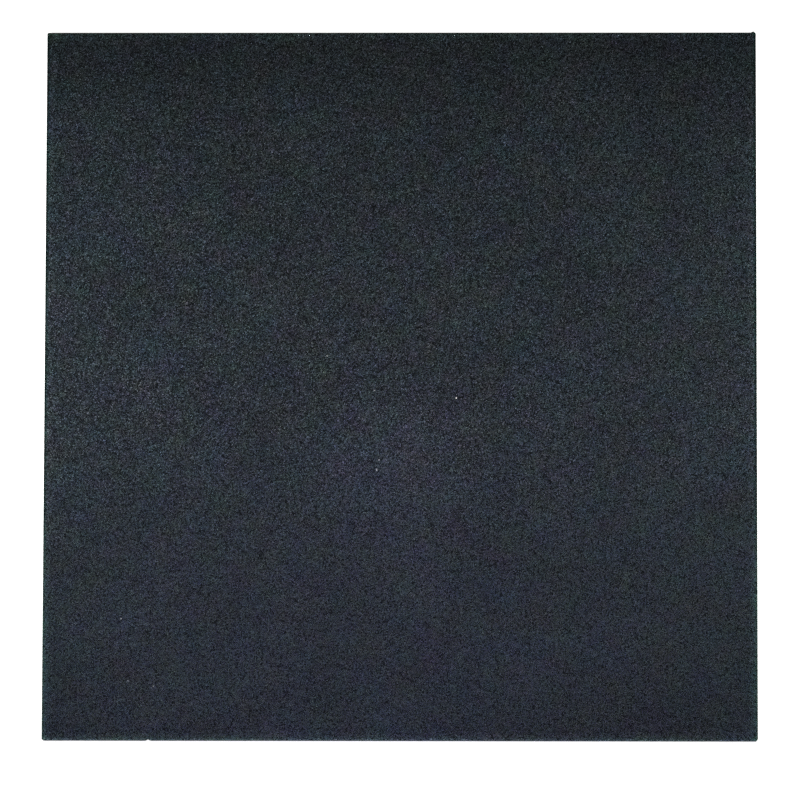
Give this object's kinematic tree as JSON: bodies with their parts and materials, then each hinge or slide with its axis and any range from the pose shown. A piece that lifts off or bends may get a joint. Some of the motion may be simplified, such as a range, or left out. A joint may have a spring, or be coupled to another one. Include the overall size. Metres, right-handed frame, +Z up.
{
  "type": "rubber gym floor tile",
  "caption": "A plain square gym floor tile of pressed black crumb rubber, with upright sides and a narrow bevel round the top.",
  "frame": {"origin": "the middle of the underside, on the floor", "axes": "+Z points up out of the walking surface. X and Y run along the sides, and +Y points to the top of the picture"},
  "size_m": [1, 1, 0.02],
  "materials": {
    "crumb_rubber": "matt, pressed from fine black crumb with small pits and grains all over"
  },
  "bodies": {
    "root": {"rubber_tile": "crumb_rubber"}
  },
  "joints": []
}
